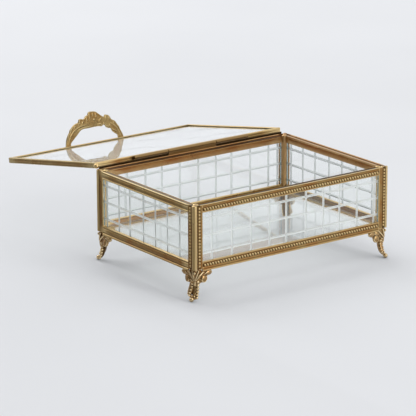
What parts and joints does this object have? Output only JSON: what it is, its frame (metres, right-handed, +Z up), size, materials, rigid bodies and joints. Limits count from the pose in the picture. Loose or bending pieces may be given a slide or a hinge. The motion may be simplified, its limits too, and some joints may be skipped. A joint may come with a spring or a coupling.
{
  "type": "vanity trinket box",
  "caption": "Brass-framed cut-glass trinket box on cast feet, with a clear glass lid hinged along the back and folded right back, and a scroll handle on the lid.",
  "frame": {"origin": "on the table, under the middle of the bounding box of the box with its lid open", "axes": "+X to the right along the front, +Y to the back where the open lid lies, +Z up; the front faces -Y"},
  "size_m": [0.2058, 0.2908, 0.0846],
  "materials": {
    "frame_brass": "antique satin, slightly darkened, with stamped beads on the front",
    "cast_brass": "cast relief, bright on the high spots and dark in the hollows",
    "hinge_brass": "dark aged tube",
    "cut_glass": "clear, faintly green, with V grooves cut in a grid",
    "plain_glass": "clear polished sheet"
  },
  "bodies": {
    "box": {"post_front_left": "frame_brass", "foot_front_left": "cast_brass", "top_rail_front": "frame_brass", "bottom_rail_front": "frame_brass", "glass_front": "cut_glass", "post_front_right": "frame_brass", "foot_front_right": "cast_brass", "top_rail_right": "frame_brass", "bottom_rail_right": "frame_brass", "glass_right": "cut_glass", "post_back_right": "frame_brass", "foot_back_right": "cast_brass", "top_rail_back": "frame_brass", "bottom_rail_back": "frame_brass", "glass_back": "cut_glass", "post_back_left": "frame_brass", "foot_back_left": "cast_brass", "top_rail_left": "frame_brass", "bottom_rail_left": "frame_brass", "glass_left": "cut_glass", "glass_floor": "plain_glass", "hinge_knuckle_middle": "hinge_brass", "hinge_pin": "hinge_brass", "hinge_strip_left": "hinge_brass", "hinge_strip_right": "hinge_brass"},
    "lid": {"lid_rim_hinge_side": "frame_brass", "lid_rim_right": "frame_brass", "lid_rim_handle_side": "frame_brass", "lid_rim_left": "frame_brass", "lid_glass": "plain_glass", "lid_knuckle_left": "hinge_brass", "lid_knuckle_right": "hinge_brass", "hinge_end_ball": "cast_brass", "lid_handle": "cast_brass"}
  },
  "joints": [
    {"name": "lid_hinge", "type": "hinge", "parent": "box", "child": "lid", "pos_m": [0, -0.0018, 0.0821], "axis": [1, 0, 0], "range_deg": [0, 190.5]}
  ]
}
